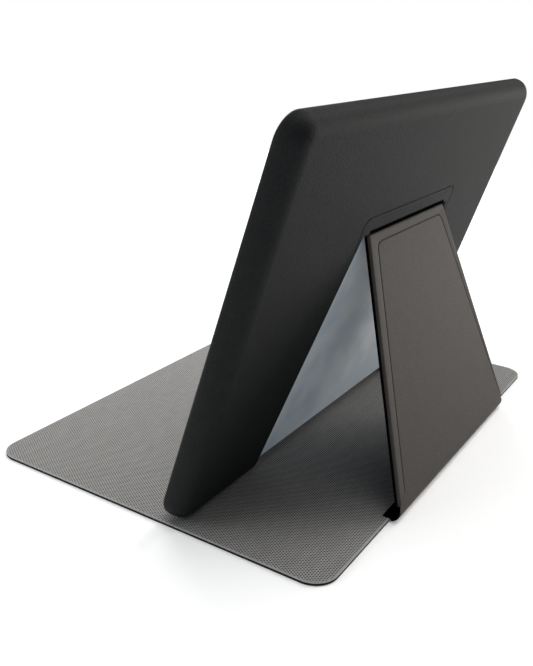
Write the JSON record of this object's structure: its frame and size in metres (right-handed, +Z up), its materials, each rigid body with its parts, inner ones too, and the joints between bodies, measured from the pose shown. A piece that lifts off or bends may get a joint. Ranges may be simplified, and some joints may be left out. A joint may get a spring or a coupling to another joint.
{
  "type": "tablet folio case with fold-out stand",
  "caption": "Tablet computer in a moulded folio case, leaning on the trapezoid stand that folds out of its back, over a flat woven cover.",
  "frame": {"origin": "centre of the flat cover's underside, on the table", "axes": "+Z up, +X along the hinges and the cover's long side, +Y from the stand towards the person who looks at the screen"},
  "size_m": [0.265, 0.1893, 0.1795],
  "materials": {
    "outer_leatherette": "matt embossed polyurethane leatherette",
    "stand_leatherette": "matt embossed polyurethane leatherette, warm charcoal",
    "woven_facing": "fine basket-woven polyester facing, light grey",
    "stiffener": "pressed fibreboard, sealed inside",
    "moulded_shell": "moulded EVA, matt black",
    "microfibre": "brushed microfibre lining",
    "anodised_aluminium": "bead-blasted, anodised pale blue-grey",
    "cover_glass": "polished, black printed border behind",
    "display": "switched-off liquid crystal panel",
    "battery_film": "wrapped lithium pouch cell",
    "circuit_board": "solder-masked fibreglass board",
    "speaker_box": "moulded speaker box",
    "socket_steel": "stamped steel socket",
    "camera_lens": "polished lens barrel",
    "key_aluminium": "anodised key, pale blue-grey"
  },
  "bodies": {
    "cover": {"cover_backing": "outer_leatherette", "cover_board": "stiffener", "cover_weave": "woven_facing", "foot_hinge_strip": "outer_leatherette", "foot_hinge_tab": "outer_leatherette"},
    "stand": {"stand_skin": "stand_leatherette", "stand_board": "stiffener", "stand_lining": "microfibre"},
    "case": {"case_skin": "outer_leatherette", "case_shell": "moulded_shell", "case_lining": "microfibre", "stand_hinge_strip": "outer_leatherette", "tablet_housing": "anodised_aluminium", "cover_glass": "cover_glass", "display_panel": "display", "battery_left": "battery_film", "battery_right": "battery_film", "logic_board": "circuit_board", "speaker_left": "speaker_box", "speaker_right": "speaker_box", "charging_socket": "socket_steel", "front_camera": "camera_lens"},
    "power_key": {"power_button": "key_aluminium"},
    "volume_key": {"volume_rocker": "key_aluminium"}
  },
  "joints": [
    {"name": "foot_hinge", "type": "hinge", "parent": "cover", "child": "stand", "pos_m": [0.0035, -0.0928, 0.0041], "axis": [1, 0, 0], "range_deg": [-24, 2]},
    {"name": "stand_hinge", "type": "hinge", "parent": "stand", "child": "case", "pos_m": [0.0035, -0.05642, 0.11859], "axis": [1, 0, 0], "range_deg": [-3.95, 47.1]},
    {"name": "power_press", "type": "slide", "parent": "case", "child": "power_key", "axis": [-1, 0, 0], "range_m": [0, 0.0004], "stiffness_N_per_m": 400, "springref_m": -0.0005},
    {"name": "volume_rock", "type": "hinge", "parent": "case", "child": "volume_key", "pos_m": [0.1244, -0.05149, 0.12838], "axis": [0, 0.9573, 0.289], "range_deg": [-1.5, 1.5], "stiffness_Nm_per_rad": 0.5}
  ],
  "couplings": [
    {"joint": "stand_hinge", "follows": "foot_hinge", "ratio": -1.96}
  ]
}
